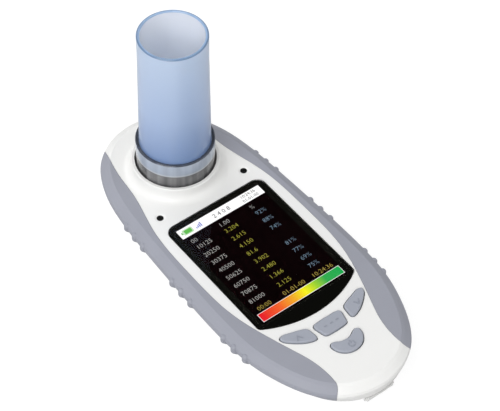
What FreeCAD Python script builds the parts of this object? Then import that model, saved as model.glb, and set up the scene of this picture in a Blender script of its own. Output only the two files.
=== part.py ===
import FreeCAD, Part
import math
import os

from FreeCAD import Vector

# Handheld spirometer. Origin: middle of the case's underside. +Z is up, square to the face, +Y runs
# from the keys towards the breathing tube, +X is to the right as the keys face the user. Millimetres.

# Outline of the case, seen from above
body_length = 168.8
body_width = 73.0
near_narrowing = 6.3
head_narrowing = 6.5
near_shoulder_radius = 78.0
head_shoulder_radius = 65.0
side_bow = 4.0
widest_from_near = 63.4

# Edge of the case, from the face down to the base
body_height = 24.6
face_edge_inset = 4.2
upper_crease_drop, upper_crease_inset = 0.7, 2.9
lower_crease_drop, lower_crease_inset = 2.6, 0.4
widest_drop = 3.8
wall_drop, wall_inset = 5.1, 0.2
side_tuck_slope, end_tuck_slope = 0.85, 0.0
base_side_inset, base_near_inset, base_head_inset = 20.5, 22.0, 17.0
underside_bands = 6

# Shells and grips
wall = 2.0
parting_height = 16.2
parting_gap = 0.15
grip_thickness = 1.6
grip_backing = 1.5
grip_fit = 0.1

# Line where a grip meets the white shell: inset from the case's side, and a distance along the case
split_points_from_near = [(12.9, 0.0), (17.9, 6.3), (19.9, 8.6), (20.5, 11.8), (20.45, 16.5), (19.1, 24.5),
                          (16.3, 32.8), (13.3, 41.5), (8.6, 58.5)]
split_points_from_flow = [(7.1, 50.0), (8.8, 22.0), (13.1, 3.0), (14.9, -12.0), (18.5, -26.0), (23.5, -42.0)]

# Finger ridges on the grips
rib_radius = 1.5
rib_proud = 0.8
rib_spacing = 6.3
rib_group_spacing = 34.5
rib_groups = 3
ribs_per_group = 3
first_rib_group_from_flow = 18.0

# Breathing tube: heights are above the base
flow_from_head = 33.3
flow_radius = 14.0
barrel_radius = 15.9
collar_radius = 16.55
collar_rise = 18.46
mouthpiece_seat_depth = 6.0
mouthpiece_radius = 15.0
mouth_end_radius = 14.25
mouth_land = 12.0
mouthpiece_rise = 58.7
mouthpiece_wall = 1.3
mouthpiece_fit = 0.25
rim_round = 0.35
seat_gap = 0.3
boss_hole_radius = 17.2
boss_rim = 1.5
boss_rise = 6.4
boss_flare = 3.6
outlet_radius = 14.0
housing_wall = 1.6
housing_height = 9.0
housing_fit = 0.2

# Turbine
socket_fit = 0.4
socket_wall = 1.6
lug_reach = 0.9
lug_angle = 16.0
lug_height = 2.0
lug_centre_height = 8.6
twist_angle = 40.0
lug_clearance = 0.35
vane_count = 6
vane_thickness = 0.8
vane_twist = 55.0
vane_steps = 3
swirler_height = 8.0
swirler_ring = 0.8
hub_radius = 3.0
hub_nose = 1.5
inlet_swirler_base = 26.2
outlet_swirler_base = 4.4
outlet_bore_step = 0.3
bore_step = 0.5
retaining_ring_wall = 1.6
rotor_corner = 2.0
rotor_span = 25.0
rotor_height = 9.0
rotor_thickness = 0.4
rotor_sleeve_radius = 1.1
rotor_centre_height = 19.3
shaft_radius = 0.5
shaft_clearance = 0.06
shaft_end_gap = 0.1
jewel_radius = 1.3
jewel_length = 1.6
jewel_hole_depth = 1.1
seal_height = 13.6
seal_radius = 0.5
slip = 0.05

# Light sensors round the turbine
sensor_ring_width = 3.9
sensor_board_thickness = 1.2
sensor_flange_thickness = 1.1
sensor_board_gap = 0.1
sensor_gap = 0.2
sensor_flange_share = 0.6
lug_slot_angle = 4.0
joint_overlap = 0.3
sensor_lens_radius = 1.5
sensor_body = 4.4
sensor_body_depth = 2.6
sensor_angles = [60.0, 120.0]
socket_ear_thickness = 2.0
socket_ear_radius = 2.6

# Window and display
glass_proud = 0.4
glass_thickness = 0.7
glass_width = 48.9
glass_top_from_flow = 25.56
glass_corner_from_near = 47.54
glass_end_sag = 7.0
glass_corner_radius = 4.0
glass_fit = 0.15
gasket_thickness = 0.15
panel_side_margin = 1.35
panel_head_margin = 0.94
panel_near_margin = 0.26
panel_corner = 1.0
panel_thickness = 2.75
panel_fit = 0.3
backlight_side_margin = 1.9
backlight_head_margin = 3.2
backlight_near_margin = 4.6
backlight_corner = 0.8
backlight_thickness = 2.0
flex_width = 14.0
flex_thickness = 0.3
flex_upper_run = 12.0
flex_lower_run = 2.0
flex_bend_from_backlight = 7.8
flex_connector_width = 15.0
flex_connector_length = 3.0
flex_connector_height = 1.0

# Keys: outlines as X and distance from the near end
key_proud = 0.9
key_travel = 0.5
key_gap = 0.35
key_tab_reach = 0.9
key_tab_width = 5.0
key_tab_thickness = 0.8
key_stem_radius = 1.5
key_edge = 0.5
key_clearance = 0.1
side_key_points = [(20.75, 37.9), (20.5, 39.1), (19.4, 39.5), (16.4, 38.8), (13.2, 37.85), (10.6, 36.9),
                   (9.4, 36.1), (8.95, 34.9), (8.75, 33.0), (8.65, 31.3), (9.0, 30.4), (10.0, 30.2),
                   (11.6, 30.6), (13.4, 31.3), (15.4, 32.5), (17.4, 34.0), (19.4, 35.8)]
side_key_centre = (12.9, 33.9)
menu_key_points = [(0.0, 36.3), (3.0, 36.25), (5.2, 36.1), (6.3, 35.7), (6.7, 34.9), (6.3, 32.6),
                   (5.8, 30.4), (5.35, 29.5), (4.4, 29.15), (2.0, 28.95), (0.0, 28.9)]
menu_key_centre = (0.0, 32.5)
power_key_points = [(0.0, 23.3), (2.0, 23.5), (3.7, 24.3), (5.1, 25.0), (6.3, 25.0), (7.05, 24.3),
                    (7.15, 23.0), (6.75, 21.5), (5.95, 20.1), (4.6, 18.7), (2.8, 17.7), (1.2, 17.3),
                    (0.0, 17.2)]
power_key_centre = (0.0, 20.6)
mat_thickness = 0.7
mat_half_width = 20.8
mat_head_from_near = 41.1
mat_near_from_near = 15.3
mat_corner = 5.0
mat_skirt = 1.0
mat_hole_radius = 2.1

# Boards and what they carry
board_thickness = 1.6
board_height = 15.9
board_half_width = 22.2
board_head_from_flow = 25.0
board_near_from_near = 7.5
board_inset = 8.0
post_radius = 1.9
post_x = 19.4
post_places = [40.0, 84.0]
switch_size = 5.2
switch_body = 1.2
switch_plunger_radius = 1.0
switch_plunger = 0.4

# Chips as X from, X to, distance from the flow axis to the far and near edge, and thickness
processor = (-5.0, 5.0, 60.0, 50.0, 1.2)
memory = (9.0, 15.0, 58.0, 50.0, 1.0)
radio_carrier = (-18.0, -6.0, 46.0, 30.0, 0.8)
radio_can = (-16.5, -7.5, 44.5, 34.0, 0.9)
power_chip_x = (-15.0, -10.0)
power_chip_from_plug = 1.0
power_chip_length = 5.0
power_chip_thickness = 1.0

# Charging port and its cover
port_width = 7.6
port_height = 2.7
port_depth = 5.4
port_mouth_from_near = 5.2
port_shell_wall = 0.3
port_opening_margin = 0.7
port_opening_depth = 2.5
tongue_recess = 0.6
tongue_thickness = 0.7
cover_half_width = 6.3
cover_bottom = 12.6
cover_slit = 0.5
cover_thickness = 1.5
cover_proud = 0.8
cover_side_gap = 0.25
cover_back_gap = 0.2
cover_bottom_gap = 0.6
cover_pin_radius = 0.45
cover_pin_length = 1.0
pin_clearance = 0.1

# Battery
battery_width = 34.0
battery_length = 50.0
battery_thickness = 6.0
battery_centre_from_flow = 62.0
battery_height = 4.4
battery_rib_thickness = 1.2
battery_rib_height = 8.0
battery_fit = 0.3
battery_edge = 2.1
battery_plug_gap = 7.0
battery_plug_x = (6.0, 12.0)
battery_plug_length = 5.0
battery_plug_height = 3.2
pad_side_margin = 5.0
pad_end_margin = 2.0

# Screws
face_screw_x = 21.6
face_screw_from_flow = 18.6
face_screw_radius = 1.45
face_screw_head = 1.0
face_screw_length = 3.6
face_screw_dish_radius = 2.5
face_screw_dish = 0.4
screw_shank_radius = 1.0
case_screw_near = (11.0, 38.5)
case_screw_head = (11.3, 6.0)
screw_slot_width = 0.45
screw_slot_share = 0.6
screw_slot_depth = 0.5
case_screw_radius = 2.0
case_screw_head_thickness = 1.4
case_screw_length = 8.0
case_boss_radius = 2.8
boss_meeting_height = 15.2
boss_floor = 2.0
boss_gap = 0.1

# Sizes that follow from those above
face_height = body_height
near_radius = body_width / 2 - near_narrowing
head_radius = body_width / 2 - head_narrowing
head_span = body_length - head_radius - widest_from_near
side_radius = (head_span ** 2 + side_bow ** 2) / (2 * side_bow)
glass_height = face_height + glass_proud
roof_height = face_height - wall
recess_depth = grip_thickness + grip_fit
thick_wall = recess_depth + grip_backing
backlight_top = face_height - thick_wall - slip
near_end = -body_length / 2
flow_y = body_length / 2 - flow_from_head
collar_top = face_height + collar_rise
mouthpiece_seat = collar_top - mouthpiece_seat_depth
mouthpiece_bottom = mouthpiece_seat + seat_gap / 2
mouthpiece_top = collar_top + mouthpiece_rise
socket_inner = barrel_radius + socket_fit
socket_outer = socket_inner + socket_wall
socket_bottom = wall + boss_gap
socket_top = roof_height - boss_gap
collar_bottom = socket_top + seat_gap
barrel_bottom = wall + seat_gap
lug_radius = barrel_radius + lug_reach
outlet_bore = flow_radius + outlet_bore_step
outlet_swirler_top = outlet_swirler_base + swirler_height
inlet_swirler_top = inlet_swirler_base + swirler_height
board_top = board_height + board_thickness
front_bottom = parting_height + parting_gap
rear_top = parting_height - parting_gap
glass_bottom = glass_height - glass_thickness
ledge_height = glass_bottom - gasket_thickness
panel_top = glass_bottom - slip
key_top = face_height + key_proud
tab_top = roof_height - key_clearance
tab_bottom = tab_top - key_tab_thickness
mat_top = tab_bottom - key_travel - key_clearance
switch_top = board_top + switch_body + switch_plunger
stem_bottom = switch_top + key_travel + key_clearance
boss_top = face_height - recess_depth - grip_backing / 2
screw_seat = boss_meeting_height - boss_gap - boss_floor
sensor_board_base = rotor_centre_height - sensor_body / 2 - sensor_board_thickness
cover_top = rear_top - cover_slit
glass_side_length = body_length - flow_from_head - glass_top_from_flow - glass_corner_from_near
panel_width = glass_width - 2 * panel_side_margin
panel_length = glass_side_length - panel_head_margin - panel_near_margin
panel_top_from_flow = glass_top_from_flow + panel_head_margin
backlight_width = panel_width + 2 * backlight_side_margin
backlight_top_from_flow = panel_top_from_flow - backlight_head_margin
backlight_length = panel_length + backlight_head_margin + backlight_near_margin
flex_bend_from_flow = backlight_top_from_flow + backlight_length - flex_bend_from_backlight
battery_plug_from_flow = battery_centre_from_flow + battery_length / 2 + battery_plug_gap


def from_flow(distance):
    """The Y of a place that lies this far from the breathing tube towards the keys."""
    return flow_y - distance


def from_near(distance):
    """The Y of a place that lies this far from the near end of the case."""
    return near_end + distance


def move(shape, x=0.0, y=0.0, z=0.0):
    placed = shape.copy()
    placed.translate(Vector(x, y, z))
    return placed


def mirrored(shape):
    return shape.mirror(Vector(0, 0, 0), Vector(1, 0, 0))


def box(x0, x1, y0, y1, z0, z1):
    return Part.makeBox(x1 - x0, y1 - y0, z1 - z0, Vector(x0, y0, z0))


def cylinder(radius, z0, z1, x=0.0, y=0.0):
    return Part.makeCylinder(radius, z1 - z0, Vector(x, y, z0))


def tube(inner, outer, z0, z1, y):
    return cylinder(outer, z0, z1, 0, y).cut(cylinder(inner, z0 - 1, z1 + 1, 0, y))


def revolved(profile, y):
    """Turn a closed profile of (radius, height) points about the tube axis at this Y."""
    corners = [Vector(r, y, z) for r, z in profile]
    face = Part.Face(Part.makePolygon(corners + corners[:1]))
    return face.revolve(Vector(0, y, 0), Vector(0, 0, 1), 360)


def closed_curve(points, z):
    spline = Part.BSplineCurve()
    spline.interpolate(Points=[Vector(x, y, z) for x, y in points], PeriodicFlag=True)
    return Part.Wire([spline.toShape()])


def prism(wire, z1):
    base = wire.BoundBox.ZMin
    return Part.Face(wire).extrude(Vector(0, 0, z1 - base))


def grown(points, amount):
    """The closed run of points, each moved outwards along the normal of the line through its neighbours."""
    area = 0.0
    for (x0, y0), (x1, y1) in zip(points, points[1:] + points[:1]):
        area += x0 * y1 - x1 * y0
    turn = 1.0 if area > 0 else -1.0
    moved = []
    for index, (x, y) in enumerate(points):
        before = points[index - 1]
        after = points[(index + 1) % len(points)]
        dx, dy = after[0] - before[0], after[1] - before[1]
        length = math.hypot(dx, dy)
        moved.append((x + turn * amount * dy / length, y - turn * amount * dx / length))
    return moved


def circle_meeting(a, radius_a, b, radius_b):
    """The point where two circles cross, the one closer in Y to the second circle's centre."""
    dx, dy = b[0] - a[0], b[1] - a[1]
    apart = math.hypot(dx, dy)
    along = (apart ** 2 + radius_a ** 2 - radius_b ** 2) / (2 * apart)
    aside = math.sqrt(radius_a ** 2 - along ** 2)
    foot = (a[0] + along * dx / apart, a[1] + along * dy / apart)
    first = (foot[0] - aside * dy / apart, foot[1] + aside * dx / apart)
    second = (foot[0] + aside * dy / apart, foot[1] - aside * dx / apart)
    return min(first, second, key=lambda point: abs(point[1] - b[1]))


def outline_arcs():
    """The right half of the outline: tangent arcs from the near end to the head end."""
    near = (0.0, near_radius - body_length / 2)
    head = (0.0, body_length / 2 - head_radius)
    side = (body_width / 2 - side_radius, widest_from_near - body_length / 2)
    near_shoulder = circle_meeting(near, near_shoulder_radius - near_radius,
                                   side, side_radius - near_shoulder_radius)
    head_shoulder = circle_meeting(head, head_shoulder_radius - head_radius,
                                   side, side_radius - head_shoulder_radius)

    def direction(start, end):
        return math.atan2(end[1] - start[1], end[0] - start[0])

    joins = [-math.pi / 2,
             direction(near_shoulder, near),
             direction(side, near_shoulder),
             direction(side, head_shoulder),
             direction(head_shoulder, head),
             math.pi / 2]
    centres = [near, near_shoulder, side, head_shoulder, head]
    radii = [near_radius, near_shoulder_radius, side_radius, head_shoulder_radius, head_radius]
    steps = [4, 3, 3, 2, 4]
    return [(centres[i], radii[i], joins[i], joins[i + 1], steps[i]) for i in range(5)]


def outline(height, side_inset, near_inset, head_inset):
    """The case outline at one height, drawn in by one amount at the sides and others at the ends."""
    half = []
    for centre, radius, start, end, steps in outline_arcs():
        for step in range(steps):
            angle = start + (end - start) * step / steps
            nx, ny = math.cos(angle), math.sin(angle)
            end_inset = near_inset if ny < 0 else head_inset
            inset = side_inset + (end_inset - side_inset) * ny ** 2
            reach = radius - inset
            half.append((centre[0] + reach * nx, centre[1] + reach * ny))
    half[0] = (0.0, half[0][1])
    tip = (0.0, body_length / 2 - head_inset)
    other = [(-x, y) for x, y in reversed(half[1:])]
    return closed_curve(half + [tip] + other, height)


def tuck(depth, slope, base_inset):
    """How far the underside has drawn in at this depth below the wall, as a slope that bows to the base."""
    full = body_height - wall_drop
    bow = (base_inset - wall_inset - slope * full) / full ** 2
    return wall_inset + slope * depth + bow * depth ** 2


def case_levels():
    """Heights with their side, near and head insets, from the face down to the base."""
    face = body_height
    levels = [(face, face_edge_inset, face_edge_inset, face_edge_inset),
              (face - upper_crease_drop, upper_crease_inset, upper_crease_inset, upper_crease_inset),
              (face - lower_crease_drop, lower_crease_inset, lower_crease_inset, lower_crease_inset),
              (face - widest_drop, 0.0, 0.0, 0.0)]
    full = face - wall_drop
    for band in range(underside_bands + 1):
        depth = full * band / underside_bands
        levels.append((full - depth,
                       tuck(depth, side_tuck_slope, base_side_inset),
                       tuck(depth, end_tuck_slope, base_near_inset),
                       tuck(depth, end_tuck_slope, base_head_inset)))
    return levels


def case_solid(thickness=0.0):
    """The outer form of the case, or the form that lies this far inside it. It is two mirrored halves
    joined, so that no face closes on itself."""
    levels = case_levels()
    drawn_in = []
    for index, (height, side, near, head) in enumerate(levels):
        above = levels[max(index - 1, 0)]
        below = levels[min(index + 1, len(levels) - 1)]
        rise = above[0] - below[0]
        spread = below[1] - above[1]
        length = math.hypot(rise, spread)
        inward = rise / length
        down = -spread / length
        if index == 0:
            inward, down = 0.5, 1.0
        if index == len(levels) - 1:
            inward, down = 0.5, -1.0
        lower = height - thickness * down
        # A level that a deep offset has carried below the next one would fold the form
        while drawn_in and drawn_in[-1][0] <= lower:
            drawn_in.pop()
        drawn_in.append((lower, side + thickness * inward, near + thickness * inward,
                         head + thickness * inward))
    whole = Part.makeLoft([outline(*level) for level in drawn_in], True, True)
    right = whole.common(box(0, body_width, -body_length, body_length, -body_height, 2 * body_height))
    return right.fuse(mirrored(right))


def split_zone(grow):
    """The part of the plan outside the line where the right grip meets the white shell."""
    half = body_width / 2
    places = [(inset, from_near(distance)) for inset, distance in split_points_from_near]
    places += [(inset, from_flow(distance)) for inset, distance in split_points_from_flow]
    points = [Vector(half - inset - grow, y, 0) for inset, y in places]
    spline = Part.BSplineCurve()
    spline.interpolate(Points=points)
    outside = [points[-1], Vector(body_width, points[-1].y, 0), Vector(body_width, points[0].y, 0), points[0]]
    sides = Part.makePolygon(outside)
    face = Part.Face(Part.Wire([spline.toShape()] + sides.Edges))
    return face.extrude(Vector(0, 0, body_height * 2))


def both_zones(grow):
    zone = split_zone(grow)
    return zone.fuse(mirrored(zone))


def rib(distance):
    """One upright finger ridge on the right side of the case, with rounded ends."""
    y = from_flow(distance)
    x = body_width / 2
    for centre, radius, start, end, _ in outline_arcs():
        low = centre[1] + radius * math.sin(start)
        high = centre[1] + radius * math.sin(end)
        if low <= y <= high:
            x = centre[0] + math.sqrt(radius ** 2 - (y - centre[1]) ** 2)
    top = face_height - lower_crease_drop - rib_radius * 0.6
    middle = face_height - wall_drop
    low = front_bottom + rib_radius
    sunk = x - rib_radius + rib_proud
    drawn_in = side_tuck_slope * (middle - low)
    upper = Part.makeCylinder(rib_radius, top - middle, Vector(sunk, y, middle))
    lean = Vector(-drawn_in, 0, low - middle)
    lower = Part.makeCylinder(rib_radius, lean.Length, Vector(sunk, y, middle), lean)
    cap = Part.makeSphere(rib_radius, Vector(sunk, y, top))
    knee = Part.makeSphere(rib_radius, Vector(sunk, y, middle))
    foot = Part.makeSphere(rib_radius, Vector(sunk - drawn_in, y, low))
    return upper.fuse([lower, cap, knee, foot])


def right_grip():
    grip = case_solid().cut(case_solid(grip_thickness)).common(split_zone(0.0))
    reach = body_width
    above = box(0, reach, -body_length, body_length, front_bottom, body_height * 2)
    ribs = []
    for group in range(rib_groups):
        for place in range(ribs_per_group):
            offset = (place - (ribs_per_group - 1) / 2) * rib_spacing
            ribs.append(rib(first_rib_group_from_flow + group * rib_group_spacing + offset))
    ribs = ribs[0].fuse(ribs[1:]).cut(case_solid(grip_thickness / 2))
    return grip.fuse(ribs).common(above).removeSplitter()


def window_solid(grow, z0, z1):
    """The outline of the window: straight top and sides, a bowed near edge and rounded corners."""
    half = glass_width / 2 + grow
    top = from_flow(glass_top_from_flow) + grow
    low = from_flow(glass_top_from_flow + glass_side_length) - grow
    corners = [Vector(half, low, z0), Vector(half, top, z0), Vector(-half, top, z0), Vector(-half, low, z0)]
    sides = Part.makePolygon(corners).Edges
    bow = Part.Arc(corners[3], Vector(0, low - glass_end_sag, z0), corners[0]).toShape()
    solid = Part.Face(Part.Wire(sides + [bow])).extrude(Vector(0, 0, z1 - z0))
    uprights = [edge for edge in solid.Edges if abs(edge.BoundBox.ZLength - (z1 - z0)) < 0.001
                and edge.BoundBox.XLength < 0.001]
    top_edges = [edge for edge in uprights if edge.BoundBox.YMax > top - 0.001]
    low_edges = [edge for edge in uprights if edge.BoundBox.YMax < top - 0.001]
    solid = solid.makeFillet(glass_corner_radius + grow, top_edges)
    low_edges = [edge for edge in solid.Edges if abs(edge.BoundBox.YMax - low) < 0.001
                 and edge.BoundBox.ZLength > 0.9 * (z1 - z0) and edge.BoundBox.XLength < 0.001]
    return solid.makeFillet(glass_corner_radius / 2 + grow, low_edges)


def rounded_box(half_width, y0, y1, z0, z1, radius):
    block = box(-half_width, half_width, y0, y1, z0, z1)
    uprights = [edge for edge in block.Edges if abs(edge.BoundBox.ZLength - (z1 - z0)) < 0.001
                and edge.BoundBox.XLength < 0.001 and edge.BoundBox.YLength < 0.001]
    return block.makeFillet(radius, uprights)


def panel_block(margin, z0, z1):
    y1 = from_flow(panel_top_from_flow) + margin
    y0 = from_flow(panel_top_from_flow + panel_length) - margin
    return rounded_box(panel_width / 2 + margin, y0, y1, z0, z1, panel_corner + margin)


def ring_sector(inner, outer, z0, z1, start, span):
    """Part of a ring about the flow axis, from an angle in degrees through a span."""
    corners = [Vector(inner, 0, z0), Vector(outer, 0, z0), Vector(outer, 0, z1), Vector(inner, 0, z1)]
    face = Part.Face(Part.makePolygon(corners + corners[:1]))
    sector = face.revolve(Vector(0, 0, 0), Vector(0, 0, 1), span)
    sector.rotate(Vector(0, 0, 0), Vector(0, 0, 1), start)
    return move(sector, 0, flow_y, 0)


def radial(shape, angle):
    """Turn a shape made along +X from the origin to this angle, and set it on the flow axis."""
    turned = shape.copy()
    turned.rotate(Vector(0, 0, 0), Vector(0, 0, 1), angle)
    return move(turned, 0, flow_y, 0)


def boss_ring():
    """The raised ring on the face, with a concave flare down to the face."""
    inner = boss_hole_radius - boss_rim
    rim = boss_hole_radius + boss_rim
    top = face_height + boss_rise
    foot = face_height - wall / 2
    middle = boss_flare * (1 - math.sqrt(0.5))
    edge = rim_round
    a = Vector(inner, 0, foot)
    b = Vector(inner, 0, top)
    c = Vector(rim - edge, 0, top)
    d = Vector(rim, 0, top - edge)
    e = Vector(rim, 0, face_height + boss_flare)
    f = Vector(rim + middle, 0, face_height + middle)
    g = Vector(rim + boss_flare, 0, face_height)
    h = Vector(rim + boss_flare, 0, foot)
    edges = Part.makePolygon([a, b, c, d, e]).Edges
    edges.append(Part.Arc(e, f, g).toShape())
    edges += Part.makePolygon([g, h, a]).Edges
    ring = Part.Face(Part.Wire(edges)).revolve(Vector(0, 0, 0), Vector(0, 0, 1), 360)
    return move(ring, 0, flow_y, 0)


def key_outline(points, mirror_half):
    """Points of a key outline in the part's frame. A half outline is completed with its mirror image."""
    placed = [(x, from_near(distance)) for x, distance in points]
    if mirror_half:
        placed += [(-x, y) for x, y in reversed(placed[1:-1])]
    return placed


def keys():
    """Each key's name, its outline and its centre."""
    side = key_outline(side_key_points, False)
    centre_x, centre_y = side_key_centre[0], from_near(side_key_centre[1])
    return {
        "left_key": ([(-x, y) for x, y in side], (-centre_x, centre_y)),
        "menu_key": (key_outline(menu_key_points, True), (0.0, from_near(menu_key_centre[1]))),
        "right_key": (side, (centre_x, centre_y)),
        "power_key": (key_outline(power_key_points, True), (0.0, from_near(power_key_centre[1]))),
    }


def key_tabs(points, centre, grow, z0, z1):
    """The tabs under the face that keep a key in, above and below its middle."""
    band = box(centre[0] - key_tab_width / 2 - grow, centre[0] + key_tab_width / 2 + grow,
               -body_length, body_length, z0, z1)
    return prism(closed_curve(grown(points, key_tab_reach + grow), z0), z1).common(band)


def key(points, centre):
    shoulder = key_top - key_edge
    wires = [closed_curve(points, tab_bottom),
             closed_curve(points, shoulder),
             closed_curve(grown(points, -0.3 * key_edge), key_top - 0.3 * key_edge),
             closed_curve(grown(points, -key_edge), key_top)]
    cap = Part.makeLoft(wires, True, True)
    tabs = key_tabs(points, centre, 0.0, tab_bottom, tab_top)
    stem = cylinder(key_stem_radius, stem_bottom, tab_bottom + slip, centre[0], centre[1])
    return cap.fuse([tabs, stem])


def case_screw_places():
    """Near and head pairs, from an inset from the case's side and a distance along it."""
    half = body_width / 2
    pairs = [(half - case_screw_near[0], from_near(case_screw_near[1])),
             (half - case_screw_head[0], from_flow(case_screw_head[1]))]
    return pairs + [(-x, y) for x, y in pairs]


def face_screw_places():
    y = from_flow(face_screw_from_flow)
    return [(face_screw_x, y), (-face_screw_x, y)]


def joined(shapes):
    return shapes[0].fuse(shapes[1:]) if len(shapes) > 1 else shapes[0]


def port_clearance():
    """The way in for a plug, through the near wall."""
    half = port_width / 2 + port_opening_margin
    low = board_height - port_height - port_opening_margin / 2
    return box(-half, half, near_end - 1, from_near(port_mouth_from_near) + port_opening_depth,
               low, rear_top + 1)


def cover_recess():
    half = cover_half_width + cover_side_gap
    skin = case_solid(-2 * cover_proud).cut(case_solid(cover_thickness + cover_back_gap))
    window = box(-half, half, near_end - body_height, near_end + body_height, cover_bottom - cover_bottom_gap,
                 rear_top + slip)
    return skin.common(window)


def cover_axis():
    """The Y and Z of the pins that the port cover turns on."""
    height = cover_bottom + cover_thickness / 2
    depth = body_height - wall_drop - height
    wall_y = near_end + tuck(depth, end_tuck_slope, base_near_inset)
    return wall_y + cover_thickness / 2 - cover_proud / 2, height


def front_shell():
    grip_space = both_zones(grip_fit).cut(case_solid(recess_depth))
    reach = body_width
    above = box(-reach, reach, -body_length, body_length, front_bottom, body_height * 2)
    blank = case_solid().cut(grip_space).common(above)
    blank = blank.fuse(boss_ring())
    edge = face_edge_inset + thick_wall
    roof = prism(outline(body_height - widest_drop, edge, edge, edge), roof_height)
    shell = blank.cut(case_solid(thick_wall)).cut(roof.cut(both_zones(grip_backing)))
    bosses = [cylinder(case_boss_radius, boss_meeting_height, boss_top, x, y)
              for x, y in case_screw_places()]
    shell = shell.fuse(bosses)
    cuts = [cylinder(boss_hole_radius, roof_height - 1, face_height + boss_rise + 1, 0, flow_y),
            window_solid(glass_fit, ledge_height, glass_height + 1),
            panel_block(panel_fit, roof_height - 2, ledge_height + 1)]
    for x, y in case_screw_places():
        cuts.append(cylinder(screw_shank_radius + slip, boss_meeting_height - 1, boss_top - 1.2, x, y))
    for x, y in face_screw_places():
        dish = Part.makeCone(face_screw_radius + slip, face_screw_dish_radius, face_screw_dish,
                             Vector(x, y, face_height - face_screw_dish))
        cuts.append(dish)
        cuts.append(cylinder(face_screw_radius + slip, face_height - face_screw_dish - face_screw_head,
                             face_height, x, y))
        cuts.append(cylinder(screw_shank_radius + slip, roof_height - 1, face_height, x, y))
    shell = shell.cut(joined(cuts))
    for points, centre in keys().values():
        shell = shell.cut(prism(closed_curve(grown(points, key_gap), roof_height - 3), face_height + 1))
        shell = shell.cut(key_tabs(points, centre, key_gap, roof_height - 3, roof_height))
    return shell


def rear_shell():
    reach = body_width
    below = box(-reach, reach, -body_length, body_length, -1, rear_top)
    outer = case_solid()
    shell = outer.cut(case_solid(wall)).common(below)
    housing_inner = socket_outer + housing_fit
    pieces = [cylinder(housing_inner + housing_wall, 0, housing_height, 0, flow_y)]
    for x, y in case_screw_places():
        pieces.append(cylinder(case_boss_radius, 0, boss_meeting_height - boss_gap, x, y).common(outer))
    for x in (post_x, -post_x):
        for distance in post_places:
            post = cylinder(post_radius, 0, board_height, x, from_flow(distance))
            pieces.append(post.common(outer))
    for end in (-1, 1):
        y = from_flow(battery_centre_from_flow) + end * (battery_length / 2 + battery_fit)
        y0, y1 = sorted((y, y + end * battery_rib_thickness))
        web = box(-battery_width / 2, battery_width / 2, y0, y1, wall / 2, battery_rib_height)
        pieces.append(web.common(outer))
    shell = shell.fuse(pieces)
    cuts = [cylinder(housing_inner, wall, body_height, 0, flow_y),
            cylinder(outlet_radius, -1, wall + 1, 0, flow_y),
            cover_recess(), port_clearance()]
    axis_y, axis_z = cover_axis()
    pin_reach = cover_half_width + cover_pin_length + pin_clearance
    cuts.append(Part.makeCylinder(cover_pin_radius + pin_clearance, 2 * pin_reach,
                                  Vector(-pin_reach, axis_y, axis_z), Vector(1, 0, 0)))
    for x, y in case_screw_places():
        cuts.append(cylinder(case_screw_radius + boss_gap, -1, screw_seat, x, y))
        cuts.append(cylinder(screw_shank_radius + slip, -1, boss_meeting_height + 1, x, y))
        cuts.append(cylinder(case_boss_radius + boss_gap, boss_meeting_height - boss_gap, body_height, x, y))
    return shell.cut(joined(cuts))


def port_cover():
    axis_y, axis_z = cover_axis()
    half = cover_half_width
    skin = case_solid(-cover_proud).cut(case_solid(cover_thickness))
    radius = cover_thickness / 2 + cover_proud / 2
    slab = skin.common(box(-half, half, near_end - body_height, axis_y + radius, axis_z, cover_top))
    root = Part.makeCylinder(radius, 2 * half, Vector(-half, axis_y, axis_z), Vector(1, 0, 0))
    reach = half + cover_pin_length
    pins = Part.makeCylinder(cover_pin_radius, 2 * reach, Vector(-reach, axis_y, axis_z), Vector(1, 0, 0))
    return slab.fuse([root, pins])


def charging_port():
    half = port_width / 2
    mouth = from_near(port_mouth_from_near)
    low = board_height - port_height
    shell = box(-half, half, mouth, mouth + port_depth, low, board_height)
    inner = box(-half + port_shell_wall, half - port_shell_wall, mouth - 1,
                mouth + port_depth - port_shell_wall, low + port_shell_wall, board_height - port_shell_wall)
    return shell.cut(inner)


def port_tongue():
    mouth = from_near(port_mouth_from_near)
    middle = board_height - port_height / 2
    back = mouth + port_depth - port_shell_wall
    half = tongue_thickness / 2
    return box(-port_width / 3, port_width / 3, mouth + tongue_recess, back, middle - half, middle + half)


def main_board():
    blank = prism(outline(board_height, board_inset, board_inset, board_inset), board_top)
    y0, y1 = from_near(board_near_from_near), from_flow(board_head_from_flow)
    return blank.common(box(-board_half_width, board_half_width, y0, y1, board_height, board_top))


def chip(place, z0, z1):
    """A flat block on the board, from its X limits and its two distances from the flow axis."""
    return box(place[0], place[1], from_flow(place[2]), from_flow(place[3]), z0, z1)


def board_chips():
    """The processor, the memory, the power chip and the display connector, under and on the board."""
    under = board_height
    power_y = from_flow(battery_plug_from_flow + power_chip_from_plug)
    power = box(power_chip_x[0], power_chip_x[1], power_y - power_chip_length, power_y,
                under - power_chip_thickness, under)
    y = from_flow(flex_bend_from_flow)
    half = flex_connector_length / 2
    connector = box(-flex_connector_width / 2, flex_connector_width / 2, y - half, y + half,
                    board_top, board_top + flex_connector_height)
    return Part.makeCompound([chip(processor, under - processor[4], under),
                              chip(memory, under - memory[4], under), power, connector])


def radio_module():
    middle = board_top + radio_carrier[4]
    return chip(radio_carrier, board_top, middle).fuse(chip(radio_can, middle, middle + radio_can[4]))


def key_switches():
    bodies = []
    for _, (x, y) in keys().values():
        half = switch_size / 2
        body = box(x - half, x + half, y - half, y + half, board_top, board_top + switch_body)
        plunger = cylinder(switch_plunger_radius, board_top + switch_body - slip, switch_top, x, y)
        bodies.append(body.fuse(plunger))
    return Part.makeCompound(bodies)


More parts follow.
